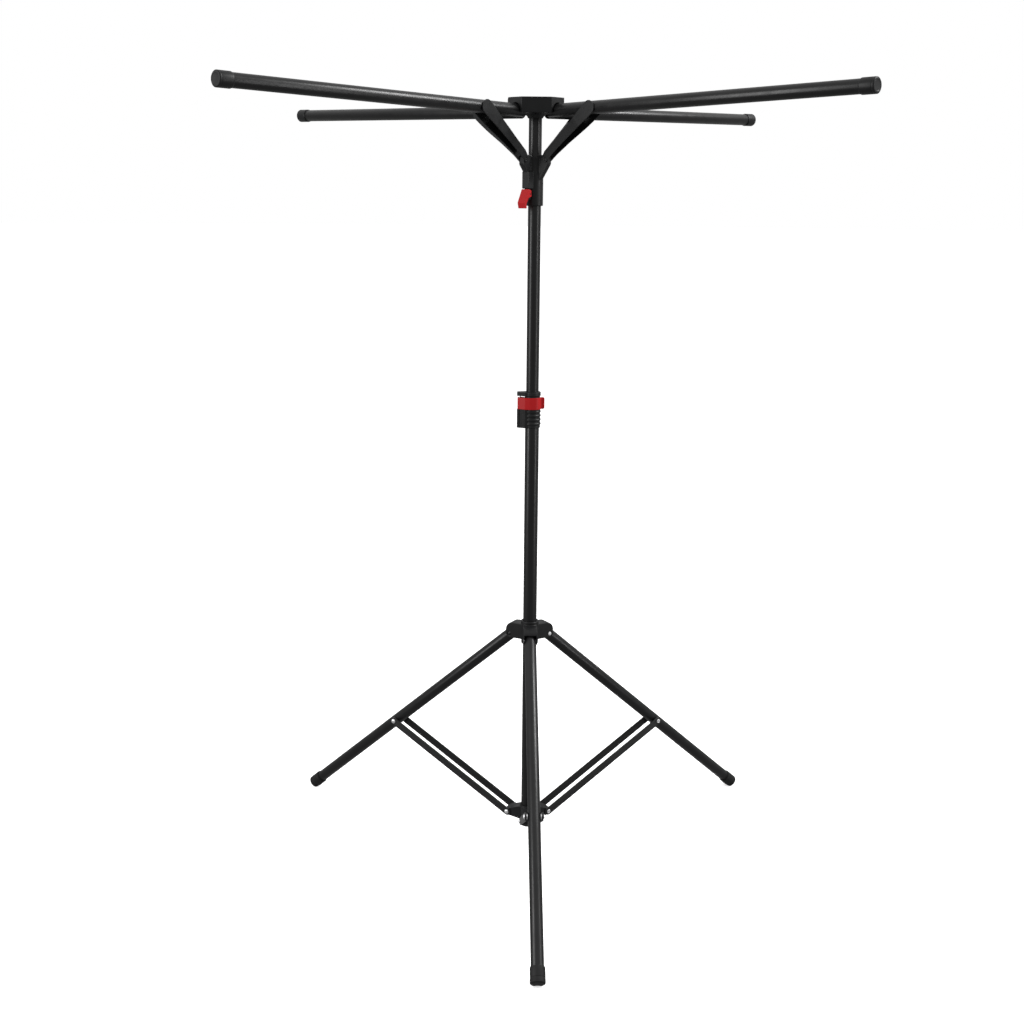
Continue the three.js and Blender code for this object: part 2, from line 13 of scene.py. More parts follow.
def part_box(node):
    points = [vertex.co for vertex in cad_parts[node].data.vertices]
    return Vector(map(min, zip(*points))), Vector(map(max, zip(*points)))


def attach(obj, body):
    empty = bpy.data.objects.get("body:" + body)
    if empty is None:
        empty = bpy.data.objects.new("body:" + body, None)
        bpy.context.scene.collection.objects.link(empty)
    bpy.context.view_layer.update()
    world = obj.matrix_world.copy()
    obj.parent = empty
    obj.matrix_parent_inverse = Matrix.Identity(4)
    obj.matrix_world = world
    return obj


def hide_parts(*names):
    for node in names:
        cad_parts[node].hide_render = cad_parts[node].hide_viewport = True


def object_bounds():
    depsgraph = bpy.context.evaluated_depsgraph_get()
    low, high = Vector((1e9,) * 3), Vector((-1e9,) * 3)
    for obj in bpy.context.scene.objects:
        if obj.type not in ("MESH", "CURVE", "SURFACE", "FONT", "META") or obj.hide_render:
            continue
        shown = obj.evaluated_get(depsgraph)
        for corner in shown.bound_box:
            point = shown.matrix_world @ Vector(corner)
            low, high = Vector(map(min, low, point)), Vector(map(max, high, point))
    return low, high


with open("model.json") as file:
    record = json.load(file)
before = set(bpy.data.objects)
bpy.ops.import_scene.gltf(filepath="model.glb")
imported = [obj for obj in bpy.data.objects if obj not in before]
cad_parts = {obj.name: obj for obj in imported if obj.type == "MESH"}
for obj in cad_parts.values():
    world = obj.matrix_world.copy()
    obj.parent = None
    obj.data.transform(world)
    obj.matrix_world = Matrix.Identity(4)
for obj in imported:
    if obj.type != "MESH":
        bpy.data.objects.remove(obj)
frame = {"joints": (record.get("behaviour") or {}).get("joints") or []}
CAD_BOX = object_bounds()
JOINTS = {joint["name"]: joint for joint in frame["joints"]}

ARMS = {"px": 0, "py": 90, "nx": 180, "ny": 270}
LEGS = {"front": -45, "right": 75, "left": 195}
HEAD_SIDE = {"front": -1, "right": 1, "left": 1}
GAP = 0.3  # millimetres between pieces that touch
WALL = 1.2  # of the round tubes
FAR = 20  # beyond the side of any small moulding, for cuts that go right through it
CLAMP_ANGLE = 225
KNOB_ANGLE = 135
LATCH_ANGLE = 270


# ---------------------------------------------------------------- sizes from the frame
def span(node):
    """A node's lowest and highest corner in millimetres."""
    low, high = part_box(node)
    return Vector(low) * 1000, Vector(high) * 1000


def pivot(joint):
    """A joint's distance from the mast's axis and its height, in millimetres."""
    x, y, z = JOINTS[joint]["pos_m"]
    return math.hypot(x, y) * 1000, z * 1000


LOWER_LOW, LOWER_HIGH = span("lower_pole")
UPPER_LOW, UPPER_HIGH = span("upper_pole")
LOWER_R = LOWER_HIGH.x
UPPER_R = UPPER_HIGH.x
HUB_LOW, HUB_HIGH = span("top_hub")
RUNNER_LOW, RUNNER_HIGH = span("runner")
CLAMP_LOW, CLAMP_HIGH = span("clamp_body")
LEVER_LOW, LEVER_HIGH = span("clamp_lever")
CROWN_LOW, CROWN_HIGH = span("crown")
LOW_HUB_LOW, LOW_HUB_HIGH = span("lower_hub")
ARM_PIVOT = pivot("arm_hinge_px")
STRUT_PIVOT = pivot("strut_hinge_px")
LEG_PIVOT = pivot("leg_hinge_front")
BRACE_PIVOT = pivot("brace_hinge_front")
TRIGGER_PIVOT = pivot("trigger_hinge")
LEVER_PIVOT = pivot("clamp_lever_hinge")
KNOB_Z = pivot("crown_knob_hinge")[1]
TUBE_R = (span("arm_px")[1].y - span("arm_px")[0].y) / 2
TUBE_TAIL = 8
ARM_TILT = math.radians(1.25)
ARM_END = (span("arm_cap_px")[1].x - ARM_PIVOT[0]) / math.cos(ARM_TILT) - GAP
STRUT_SLOPE = math.radians(39.405)
LEG_SLOPE = math.radians(40.883)
FOOT_CENTRE_Z = 8
LEG_LENGTH = (LEG_PIVOT[1] - FOOT_CENTRE_Z) / math.sin(LEG_SLOPE)
BAR_SLOPE = math.radians(27.325)
BAR_LENGTH = 324.17
BAR_HALF = 8
LEG_JOINT = (
    BRACE_PIVOT[0] + BAR_LENGTH * math.cos(BAR_SLOPE),
    BRACE_PIVOT[1] + BAR_LENGTH * math.sin(BAR_SLOPE),
)


# ---------------------------------------------------------------- shapes as (vertices, faces)
def outline(corners, steps=7):
    """Points of a closed shape from (x, y, radius) corners, each rounded by its radius."""
    points = []
    for i, corner in enumerate(corners):
        x, y, radius = (*corner, 0)[:3]
        here = Vector((x, y))
        back = (Vector(corners[i - 1][:2]) - here).normalized()
        ahead = (Vector(corners[(i + 1) % len(corners)][:2]) - here).normalized()
        half = math.acos(max(-1, min(1, back.dot(ahead)))) / 2
        if not radius or math.pi / 2 - half < 0.01:
            points.append(here)
            continue
        centre = here + (back + ahead).normalized() * radius / math.sin(half)
        start = here + back * radius / math.tan(half) - centre
        end = here + ahead * radius / math.tan(half) - centre
        turn = math.atan2(start.x * end.y - start.y * end.x, start.dot(end))
        count = max(2, round(steps * abs(turn) / (math.pi / 2)))
        for k in range(count + 1):
            points.append(centre + Matrix.Rotation(turn * k / count, 2) @ start)
    return points


def extrude(points, place_low, place_high):
    """A closed body between two copies of an outline."""
    area = sum(a.x * b.y - b.x * a.y for a, b in zip(points, points[1:] + points[:1]))
    if area < 0:
        points = points[::-1]
    n = len(points)
    verts = [place_low(p) for p in points] + [place_high(p) for p in points]
    faces = [tuple(range(n - 1, -1, -1)), tuple(range(n, 2 * n))]
    faces += [(i, (i + 1) % n, n + (i + 1) % n, n + i) for i in range(n)]
    return verts, faces


def prism(corners, z0, z1):
    points = outline(corners)
    return extrude(points, lambda p: Vector((p.x, p.y, z0)), lambda p: Vector((p.x, p.y, z1)))


def slab(corners, y0, y1):
    """An outline in the X-Z plane, from y0 to y1."""
    points = outline(corners)
    return extrude(points, lambda p: Vector((p.x, y1, p.y)), lambda p: Vector((p.x, y0, p.y)))


def lathe(profile, segments=96):
    """A closed profile of (radius, height) points turned about Z; radius 0 closes on the axis."""
    verts, rings = [], []
    for r, z in profile:
        if r <= 0:
            rings.append([len(verts)] * segments)
            verts.append(Vector((0, 0, z)))
            continue
        rings.append(list(range(len(verts), len(verts) + segments)))
        for k in range(segments):
            a = 2 * math.pi * k / segments
            verts.append(Vector((r * math.cos(a), r * math.sin(a), z)))
    faces = []
    for i, ring in enumerate(rings):
        after = rings[(i + 1) % len(rings)]
        for k in range(segments):
            j = (k + 1) % segments
            quad = list(dict.fromkeys((ring[k], ring[j], after[j], after[k])))
            if len(quad) > 2:
                faces.append(tuple(quad))
    return verts, faces


def transform(shape, matrix):
    return [matrix @ v for v in shape[0]], shape[1]


def turned_z(shape, degrees):
    return transform(shape, Matrix.Rotation(math.radians(degrees), 4, "Z"))


def along_x(shape):
    return transform(shape, Matrix.Rotation(math.pi / 2, 4, "Y"))


def along_y(shape, sign=1):
    return transform(shape, Matrix.Rotation(-sign * math.pi / 2, 4, "X"))


def block(x0, x1, y0, y1, z0, z1):
    return prism([(x0, y0), (x1, y0), (x1, y1), (x0, y1)], z0, z1)


def rod_z(radius, x, y, z0, z1, segments=64):
    shape = lathe([(0, z0), (radius, z0), (radius, z1), (0, z1)], segments)
    return transform(shape, Matrix.Translation((x, y, 0)))


def rod_y(radius, x, z, y0, y1, segments=64):
    shape = along_y(lathe([(0, y0), (radius, y0), (radius, y1), (0, y1)], segments))
    return transform(shape, Matrix.Translation((x, 0, z)))


def rod_x(radius, y, z, x0, x1, segments=64):
    shape = along_x(lathe([(0, x0), (radius, x0), (radius, x1), (0, x1)], segments))
    return transform(shape, Matrix.Translation((0, y, z)))


def softened(profile, radius=0.6, steps=3):
    """A turned profile with every corner off the axis rounded."""
    corners = [(r, z, min(radius, 0.45 * reach(profile, i)) if r > 0 else 0)
               for i, (r, z) in enumerate(profile)]
    return [(p.x, p.y) for p in outline(corners, steps)]


def reach(profile, i):
    """The shorter of the two sides that meet at a corner of a profile."""
    here = Vector(profile[i])
    after = Vector(profile[(i + 1) % len(profile)])
    return min((Vector(profile[i - 1]) - here).length, (after - here).length)


# ---------------------------------------------------------------- meshes
def mesh_from(shape):
    if isinstance(shape, bpy.types.Mesh):
        return shape
    mesh = bpy.data.meshes.new("shape")
    mesh.from_pydata([tuple(v) for v in shape[0]], [], shape[1])
    mesh.update()
    return mesh


def evaluated(mesh, *modifiers):
    """A new mesh: this one with modifiers given as (type, settings)."""
    helper = bpy.data.objects.new("helper", mesh)
    bpy.context.scene.collection.objects.link(helper)
    others = []
    for kind, settings in modifiers:
        modifier = helper.modifiers.new(kind, kind)
        for key, value in settings.items():
            if key == "object":
                other = bpy.data.objects.new("cutter", value)
                bpy.context.scene.collection.objects.link(other)
                others.append(other)
                value = other
            setattr(modifier, key, value)
    graph = bpy.context.evaluated_depsgraph_get()
    made = bpy.data.meshes.new_from_object(helper.evaluated_get(graph))
    for other in [*others, helper]:
        bpy.data.objects.remove(other)
    return made


def combined(adds, cuts=(), within=()):
    """The union of adds, cropped to the bodies in within, less the cuts."""
    mesh = mesh_from(adds[0])
    steps = ((adds[1:], "UNION"), (within, "INTERSECT"), (cuts, "DIFFERENCE"))
    for shapes, operation in steps:
        for shape in shapes:
            settings = {"operation": operation, "solver": "MANIFOLD", "object": mesh_from(shape)}
            mesh = evaluated(mesh, ("BOOLEAN", settings))
    return mesh


def finished(mesh, flat_angle=None):
    """Scales a mesh to metres and shades it smooth, with edges over flat_angle kept sharp."""
    mesh.transform(Matrix.Scale(0.001, 4))
    mesh.shade_smooth()
    if flat_angle:
        mesh.set_sharp_from_angle(angle=math.radians(flat_angle))
    return mesh


def turned_piece(profile, radius=0.6, segments=96):
    return finished(mesh_from(lathe(softened(profile, radius), segments)), 60)


def turned_piece_x(profile, radius=0.6, segments=96):
    return finished(mesh_from(along_x(lathe(softened(profile, radius), segments))), 60)


def turned_piece_y(profile, sign=-1, radius=0.4, segments=48):
    """A small turned piece whose profile runs towards sign * Y."""
    mesh = turned_piece(profile, radius, segments)
    mesh.transform(Matrix.Rotation(-sign * math.pi / 2, 4, "X"))
    return mesh


def pin(radius, low, high):
    """The profile of a plain pin."""
    return [(0, low), (radius, low), (radius, high), (0, high)]


def moulded(adds, cuts, voxel=0.7, rounds=5, within=()):
    """A moulded body: joined, cut, then remeshed and smoothed so its edges are rounded."""
    mesh = combined(adds, cuts, within)
    remesh = ("REMESH", {"mode": "VOXEL", "voxel_size": voxel, "use_smooth_shade": True})
    smooth = ("SMOOTH", {"factor": 0.5, "iterations": rounds})
    return finished(evaluated(mesh, remesh, smooth))


def machined(adds, cuts, bevel=0.5):
    """A body with crisp faces and a small bevel on its edges."""
    mesh = combined(adds, cuts)
    settings = {"width": bevel, "segments": 3, "limit_method": "ANGLE", "angle_limit": 0.6}
    return finished(evaluated(mesh, ("BEVEL", settings)), 40)


# ---------------------------------------------------------------- materials
def material(name, base, roughness, metallic=0.0, grain=(900, 0.00012), tone=0.25, uneven=0.08,
             edge_highlight=0.0, specular=0.5, streak=1.0):
    """A finish with fine grain, uneven tone and gloss, and a painted highlight: a lighter colour on
    convex edges, as strong as the edge highlight argument.
    """
    made = bpy.data.materials.new(name)
    made.use_nodes = True
    nodes, links = made.node_tree.nodes, made.node_tree.links
    shader = nodes["Principled BSDF"]
    shader.inputs["Metallic"].default_value = metallic
    shader.inputs["Specular IOR Level"].default_value = specular
    place = nodes.new("ShaderNodeTexCoord")
    stretch = nodes.new("ShaderNodeMapping")
    stretch.inputs["Scale"].default_value = (1, 1, streak)
    links.new(place.outputs["Object"], stretch.inputs["Vector"])

    def noise(scale, detail, source=None):
        node = nodes.new("ShaderNodeTexNoise")
        node.inputs["Scale"].default_value = scale
        node.inputs["Detail"].default_value = detail
        links.new((source or place).outputs["Object" if source is None else "Vector"],
                  node.inputs["Vector"])
        return node.outputs["Fac"]

    def spread(source, low, high, out_low, out_high):
        node = nodes.new("ShaderNodeMapRange")
        for key, value in zip(("From Min", "From Max", "To Min", "To Max"),
                              (low, high, out_low, out_high)):
            node.inputs[key].default_value = value
        links.new(source, node.inputs["Value"])
        return node.outputs["Result"]

    def mixed(factor, low, high):
        node = nodes.new("ShaderNodeMix")
        node.data_type = "RGBA"
        links.new(factor, node.inputs["Factor"])
        for key, value in (("A", low), ("B", high)):
            socket = next(s for s in node.inputs if s.name == key and s.type == "RGBA")
            if isinstance(value, tuple):
                socket.default_value = (*value, 1)
            else:
                links.new(value, socket)
        return next(s for s in node.outputs if s.type == "RGBA")

    cloudy = spread(noise(14, 4, stretch), 0.3, 0.7, 0, 1)
    dark = tuple(c * (1 - tone) for c in base)
    light = tuple(min(1, c * (1 + tone)) for c in base)
    colour = mixed(cloudy, dark, light)
    # Painted highlight: convex edges, found by pointiness, are mixed towards a lighter colour that
    # stands in for light catching them.
    if edge_highlight:
        edge = nodes.new("ShaderNodeNewGeometry").outputs["Pointiness"]
        highlit_edge = spread(edge, 0.53, 0.62, 0, edge_highlight)
        colour = mixed(highlit_edge, colour, tuple(min(1, c * 2.2 + 0.02) for c in base))
    links.new(colour, shader.inputs["Base Color"])
    gloss = spread(noise(60, 5, stretch), 0.3, 0.7, roughness - uneven, roughness + uneven)
    links.new(gloss, shader.inputs["Roughness"])
    bump = nodes.new("ShaderNodeBump")
    bump.inputs["Strength"].default_value = 0.6
    bump.inputs["Distance"].default_value = grain[1]
    links.new(noise(grain[0], 3), bump.inputs["Height"])
    links.new(bump.outputs["Normal"], shader.inputs["Normal"])
    return made


# The tube, bar and plastic finishes carry a painted highlight on their convex edges.
LOOKS = {
    "black_tube": material("powder_coat_tube", (0.0055, 0.0055, 0.0058), 0.33, uneven=0.05,
                           grain=(1100, 0.00005), edge_highlight=0.2, streak=0.15, specular=0.3),
    "black_bar": material("powder_coat_bar", (0.011, 0.011, 0.0113), 0.4, uneven=0.06,
                          grain=(1100, 0.00006), edge_highlight=0.4, specular=0.35),
    "black_plastic": material("moulded_nylon", (0.0082, 0.0084, 0.0088), 0.42, uneven=0.08,
                              grain=(1600, 0.00006), edge_highlight=0.9, specular=0.22),
    "black_rubber": material("rubber", (0.006, 0.006, 0.006), 0.62, uneven=0.06,
                             grain=(700, 0.00012), specular=0.25),
    "red_plastic": material("red_moulding", (0.38, 0.011, 0.013), 0.4, uneven=0.06, tone=0.08,
                            grain=(1300, 0.00004), specular=0.14),
    "bright_steel": material("zinc_steel", (0.78, 0.78, 0.79), 0.42, metallic=1.0, tone=0.06,
                             grain=(1800, 0.00003), uneven=0.08),
}


def seat(angle=0, r=0.0, z=0.0, tilt=0.0):
    """The matrix of a piece's own frame: out by r, up by z, tipped down by tilt, turned by angle."""
    return (
        Matrix.Rotation(math.radians(angle), 4, "Z")
        @ Matrix.Translation((r / 1000, 0, z / 1000))
        @ Matrix.Rotation(tilt, 4, "Y")
    )


def show(node, mesh, body, slot, matrix=None):
    """One finished piece that stands for a CAD node, rides on its body and takes its slot."""
    piece = bpy.data.objects.new(f"look_{node}", mesh.copy())
    bpy.context.scene.collection.objects.link(piece)
    piece.data.transform(matrix or Matrix.Identity(4))
    piece.data.materials.clear()
    piece.data.materials.append(LOOKS[slot])
    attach(piece, body)
    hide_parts(node)
    return piece


def tube(radius, wall, start, end):
    return [(radius - wall, start), (radius, start), (radius, end), (radius - wall, end)]


# ---------------------------------------------------------------- mast tubes
lower = turned_piece(tube(LOWER_R, WALL, LOWER_LOW.z, LOWER_HIGH.z), 0.4)
show("lower_pole", lower, "base", "black_tube")
upper = turned_piece(tube(UPPER_R, WALL, UPPER_LOW.z, UPPER_HIGH.z), 0.4)
show("upper_pole", upper, "mast", "black_tube")
bush_low, bush_high = span("pole_bush")
bush_r = bush_high.x
BUSH_BORE = 8
BUSH_SLEEVE = UPPER_R - 1.5
bush = turned_piece(
    [
        (BUSH_BORE, bush_low.z), (bush_r - 0.8, bush_low.z), (bush_r, bush_low.z + 1),
        (bush_r, UPPER_LOW.z - GAP), (BUSH_SLEEVE, UPPER_LOW.z - GAP),
        (BUSH_SLEEVE, bush_high.z), (BUSH_BORE, bush_high.z),
    ],
    0.3,
)
show("pole_bush", bush, "mast", "black_plastic")

# ---------------------------------------------------------------- top hub
HUB_FAR = HUB_HIGH.x
HUB_NEAR = 17.54  # half the width of each flat that faces an arm
HUB_DEPTH = 29
HUB_ROOF = 5
HUB_ROUND = 2.5
POCKET = 12.6  # half the width of an arm's pocket, and the radius of the arch over it
POCKET_BACK = 20
ARCH_RISE = 0.84
NECK_R, WAIST_R, FLARE_R = 13.9, 16, 20
WAIST_RISE = 4
PIN_R = 2.5
PIN_HOLE = 2.6
ARM_PIN_HALF = 16.7
octagon = []
for quarter in range(4):
    spin = Matrix.Rotation(math.radians(90 * quarter), 2)
    for x, y in ((HUB_FAR, HUB_NEAR), (HUB_NEAR, HUB_FAR)):
        corner = spin @ Vector((x, y))
        octagon.append((corner.x, corner.y, HUB_ROUND))
hub_body_low = HUB_HIGH.z - HUB_DEPTH
spring = ARM_PIVOT[1] + ARCH_RISE
hub_cuts = [rod_z(UPPER_R + GAP, 0, 0, HUB_LOW.z - 1, UPPER_HIGH.z + GAP)]
for angle in ARMS.values():
    for shape in (
        block(POCKET_BACK, 51, -POCKET, POCKET, hub_body_low - 1, HUB_HIGH.z - HUB_ROOF),
        block(50, 60, -POCKET, POCKET, hub_body_low - 1, spring),
        rod_x(POCKET, 0, spring, 50, 60),
        rod_y(PIN_HOLE, *ARM_PIVOT, -17, 17),
    ):
        hub_cuts.append(turned_z(shape, angle))
neck = lathe(
    [
        (0, HUB_LOW.z), (NECK_R, HUB_LOW.z), (WAIST_R, HUB_LOW.z + WAIST_RISE),
        (FLARE_R, hub_body_low + 0.5), (0, hub_body_low + 0.5),
    ]
)
hub_mesh = moulded([prism(octagon, hub_body_low, HUB_HIGH.z), neck], hub_cuts, 0.8, 4)
show("top_hub", hub_mesh, "mast", "black_plastic")

# ---------------------------------------------------------------- arms
ARM_CAP_LENGTH = 27.5
ARM_CAP_FLOOR = 3.5
cap_r = (span("arm_cap_px")[1].y - span("arm_cap_px")[0].y) / 2
arm_mesh = turned_piece_x(tube(TUBE_R, WALL, -TUBE_TAIL, ARM_END - ARM_CAP_FLOOR - GAP), 0.4)
cap_start = ARM_END - ARM_CAP_LENGTH
cap_mesh = turned_piece_x(
    [
        (TUBE_R + GAP, cap_start), (cap_r - 0.5, cap_start), (cap_r, cap_start + 1.6),
        (cap_r, ARM_END - 5.2), (cap_r - 0.35, ARM_END - 4.9), (cap_r - 0.35, ARM_END - 4.3),
        (cap_r, ARM_END - 4.0), (cap_r, ARM_END - 1.4), (cap_r - 1.6, ARM_END),
        (cap_r - 4.5, ARM_END), (cap_r - 5, ARM_END - 0.4), (0, ARM_END - 0.4),
        (0, ARM_END - ARM_CAP_FLOOR), (TUBE_R + GAP, ARM_END - ARM_CAP_FLOOR),
    ],
    0.7,
)
pin_mesh = turned_piece_y(pin(PIN_R, -ARM_PIN_HALF, ARM_PIN_HALF))
for side, angle in ARMS.items():
    where = seat(angle, *ARM_PIVOT, -ARM_TILT)
    show(f"arm_{side}", arm_mesh, f"arm_{side}", "black_tube", where)
    show(f"arm_cap_{side}", cap_mesh, f"arm_{side}", "black_plastic", where)
    show(f"arm_pin_{side}", pin_mesh, "mast", "bright_steel", where)

# ---------------------------------------------------------------- struts
STRUT_HEAD = (span("strut_px")[1].y - span("strut_px")[0].y) / 2
STRUT_FOOT = 7.2
STRUT_CHEEK = 1.9
STRUT_FLARE = 105  # from the foot to where the full width of the head is reached
STRUT_END = 180  # beyond the head
WEB_FOOT, WEB_HEAD = 15.7, 103.2
STRUT_PIN_HALF = 6.9
strut_outline = [
    (-5.5, -5.4, 5.2), (18.2, -4.6, 12), (54.2, -6.6, 60), (94.2, -10.6, 60),
    (126.2, -13.2, 40), (156, -14.6, 12), (156, 12.4, 12), (129.2, 11.6, 20), (100.2, 9.9, 60),
    (59, 10.1, 60), (12, 11.2, 10), (-5.5, 6.6, 5.8),
]
hollow = [
    (-20, -30), (STRUT_END, -30), (STRUT_END, 4), (WEB_HEAD, 4), (WEB_HEAD, 7.8, 1.5), (59, 7.9),
    (WEB_FOOT, 8.7, 1.5), (WEB_FOOT, 4), (-20, 4),
]


def strut_plan(inset):
    """The strut seen from above: narrow on the runner's ear, wide round the arm."""
    head, foot = STRUT_HEAD - inset, STRUT_FOOT - inset
    half = [(STRUT_END, head), (STRUT_FLARE, head), (0, foot), (-20, foot)]
    return prism(half + [(x, -y) for x, y in reversed(half)], -40, 40)


channel = combined(
    [
        slab(hollow, -FAR, FAR),
        block(-20, WEB_FOOT, -FAR, FAR, -30, 30),
        block(WEB_HEAD, STRUT_END, -FAR, FAR, -30, 30),
    ],
    within=[strut_plan(STRUT_CHEEK)],
)
strut_mesh = moulded(
    [slab(strut_outline, -FAR, FAR)],
    [channel, rod_y(PIN_HOLE, 0, 0, -FAR, FAR)],
    0.5,
    3,
    within=[strut_plan(0)],
)
strut_pin = turned_piece_y(pin(PIN_R, -STRUT_PIN_HALF, STRUT_PIN_HALF), radius=0.5)
for side, angle in ARMS.items():
    where = seat(angle, *STRUT_PIVOT, -STRUT_SLOPE)
    show(f"strut_{side}", strut_mesh, f"strut_{side}", "black_plastic", where)
    show(f"strut_pin_{side}", strut_pin, "runner", "black_plastic", where)

# ---------------------------------------------------------------- runner and trigger
RUNNER_R = 16.3
RUNNER_EAR_HALF = 5
LATCH_HALF = 9
LATCH_REACH = 26.5
LATCH_TOP = 1396
TONGUE_HALF = 3.5
TRIGGER_PIN_R = 1.3
TRIGGER_PIN_HOLE = 1.35
TRIGGER_PIN_HALF = 8.6
ear_r = RUNNER_HIGH.x
ear_top = RUNNER_HIGH.z
run_low = RUNNER_LOW.z
ear = [
    (0, run_low + 46), (RUNNER_R - 1, run_low + 48, 10), (ear_r, run_low + 78, 6),
    (ear_r, ear_top, 6), (0, ear_top),
]
housing_low = TRIGGER_PIVOT[1] + 10.2
runner_adds = [
    lathe(
        [
            (0, run_low), (RUNNER_R - 0.8, run_low), (RUNNER_R, run_low + 0.8),
            (RUNNER_R, ear_top - 3), (0, ear_top - 3),
        ]
    )
]
runner_adds += [
    turned_z(slab(ear, -RUNNER_EAR_HALF, RUNNER_EAR_HALF), angle) for angle in ARMS.values()
]
housing = [
    (0, housing_low), (LATCH_REACH, housing_low, 1.5), (LATCH_REACH, LATCH_TOP), (0, LATCH_TOP),
]
tongue = [
    (0, 1344), (19, 1344), (24.4, 1351, 3), (24.4, housing_low + 1), (0, housing_low + 1),
]
runner_adds += [
    turned_z(slab(housing, -LATCH_HALF, LATCH_HALF), LATCH_ANGLE),
    turned_z(slab(tongue, -TONGUE_HALF, TONGUE_HALF), LATCH_ANGLE),
]
runner_cuts = [
    rod_z(UPPER_R + GAP, 0, 0, run_low - 1, ear_top + 5),
    turned_z(rod_y(TRIGGER_PIN_HOLE, *TRIGGER_PIVOT, -FAR, FAR), LATCH_ANGLE),
]
runner_cuts += [turned_z(rod_y(PIN_HOLE, *STRUT_PIVOT, -FAR, FAR), angle) for angle in ARMS.values()]
show("runner", moulded(runner_adds, runner_cuts, 0.7, 5), "runner", "black_plastic")
trigger_outline = [
    (19, 1361, 1.2), (26.9, 1363.6, 1.2), (38.5, 1338, 3), (36, 1327.3, 1.2),
    (31, 1327.3, 1.2), (32, 1335.5, 3), (26, 1347, 2), (18, 1349.5, 1),
]
tongue_slot = [(10, 1340), (22, 1340), (25, 1350, 2), (24.9, 1370), (10, 1370)]
trigger_mesh = moulded(
    [slab(trigger_outline, -LATCH_HALF, LATCH_HALF)],
    [
        slab(tongue_slot, -TONGUE_HALF - GAP, TONGUE_HALF + GAP),
        rod_y(TRIGGER_PIN_HOLE, *TRIGGER_PIVOT, -FAR, FAR),
    ],
    0.35,
    5,
)
show("trigger", trigger_mesh, "trigger", "red_plastic", seat(LATCH_ANGLE))
trigger_pin = turned_piece_y(
    pin(TRIGGER_PIN_R, -TRIGGER_PIN_HALF, TRIGGER_PIN_HALF), radius=0.3, segments=32
)
show("trigger_pin", trigger_pin, "runner", "black_plastic", seat(LATCH_ANGLE, *TRIGGER_PIVOT))

# ---------------------------------------------------------------- height clamp
CLAMP_R = 16
CLAMP_WAIST_R = 15.5  # inside the lever
CLAMP_RING_R = 16.8
RIB_R = 17.2
RIB_COUNT = 4
RIB_FIRST, RIB_WIDTH, RIB_STEP = 6.6, 3.4, 8.2
LEVER_BORE = 15.9
TAB_END = -24.5
TAB_UNDER = -1.6
CLAMP_PIN_R = 1.6
CLAMP_PIN_HOLE = 1.65
clamp_low = CLAMP_LOW.z
block_top = LEVER_LOW.z - GAP
ring_low = LEVER_HIGH.z + 3
ring_top = CLAMP_HIGH.z
lug = [(0, -10), (14, -10, 6), (30.6, -5.6, 5.4), (30.6, 5.6, 5.4), (14, 13.5, 6), (0, 13.5)]


def ring(radius, z0, z1, soft=0.6):
    """A solid disc with softened rims, bored later."""
    return lathe(
        [(0, z0), (radius - soft, z0), (radius, z0 + soft), (radius, z1 - soft),
         (radius - soft, z1), (0, z1)]
    )


clamp_adds = [
    ring(CLAMP_R, clamp_low, block_top),
    ring(CLAMP_WAIST_R, block_top - 1, ring_low + 1),
    ring(CLAMP_RING_R, ring_low, ring_top),
    prism(lug, clamp_low, block_top),
    prism(lug, ring_low, ring_top),
]
for i in range(RIB_COUNT):
    rib_low = clamp_low + RIB_FIRST + RIB_STEP * i
    clamp_adds.append(ring(RIB_R, rib_low, rib_low + RIB_WIDTH))
clamp_cuts = [
    rod_z(LOWER_R + GAP, 0, 0, clamp_low - 1, LOWER_HIGH.z + GAP),
    rod_z(UPPER_R + GAP, 0, 0, clamp_low, ring_top + 1),
    rod_z(CLAMP_PIN_HOLE, LEVER_PIVOT[0], 0, clamp_low + 4, ring_top + 1),
    prism([(17.5, 16), (17.5, 9.6), (27.4, 4.9), (27.4, 12)], clamp_low + 2.2, block_top + 1),
]
show("clamp_body", moulded(clamp_adds, clamp_cuts, 0.5, 4), "base", "black_plastic",
     seat(CLAMP_ANGLE))
lever_outline = [
    (30, -1.5, 5), (29.5, 5.5, 4), (15, 14.5, 8), (4.5, 17.9, 12), (-10, 16.8, 12),
    (-16.6, 7, 8), (-17.6, 2.2, 1), (TAB_END, 1.8, 1), (TAB_END, TAB_UNDER, 1), (-16, TAB_UNDER),
    (-16, -1), (15, -2), (19, -5, 3),
]
lever_side = [
    (TAB_END, LEVER_LOW.z, 3.5), (40, LEVER_LOW.z), (40, LEVER_HIGH.z), (TAB_END, LEVER_HIGH.z, 3.5),
]
lever_mesh = moulded(
    [prism(lever_outline, LEVER_LOW.z, LEVER_HIGH.z)],
    [
        rod_z(LEVER_BORE, 0, 0, block_top - 1, ring_low + 1),
        block(-30, LEVER_BORE, -30, TAB_UNDER, block_top - 1, ring_low + 1),
        rod_z(CLAMP_PIN_HOLE, LEVER_PIVOT[0], 0, block_top - 1, ring_low + 1),
    ],
    0.4,
    4,
    within=[slab(lever_side, -40, 40)],
)
show("clamp_lever", lever_mesh, "clamp_lever", "red_plastic", seat(CLAMP_ANGLE))
pin_low, pin_high = span("clamp_pin")
clamp_pin = turned_piece(pin(CLAMP_PIN_R, pin_low.z, pin_high.z), 0.3, 32)
show("clamp_pin", clamp_pin, "base", "bright_steel", seat(CLAMP_ANGLE, LEVER_PIVOT[0]))

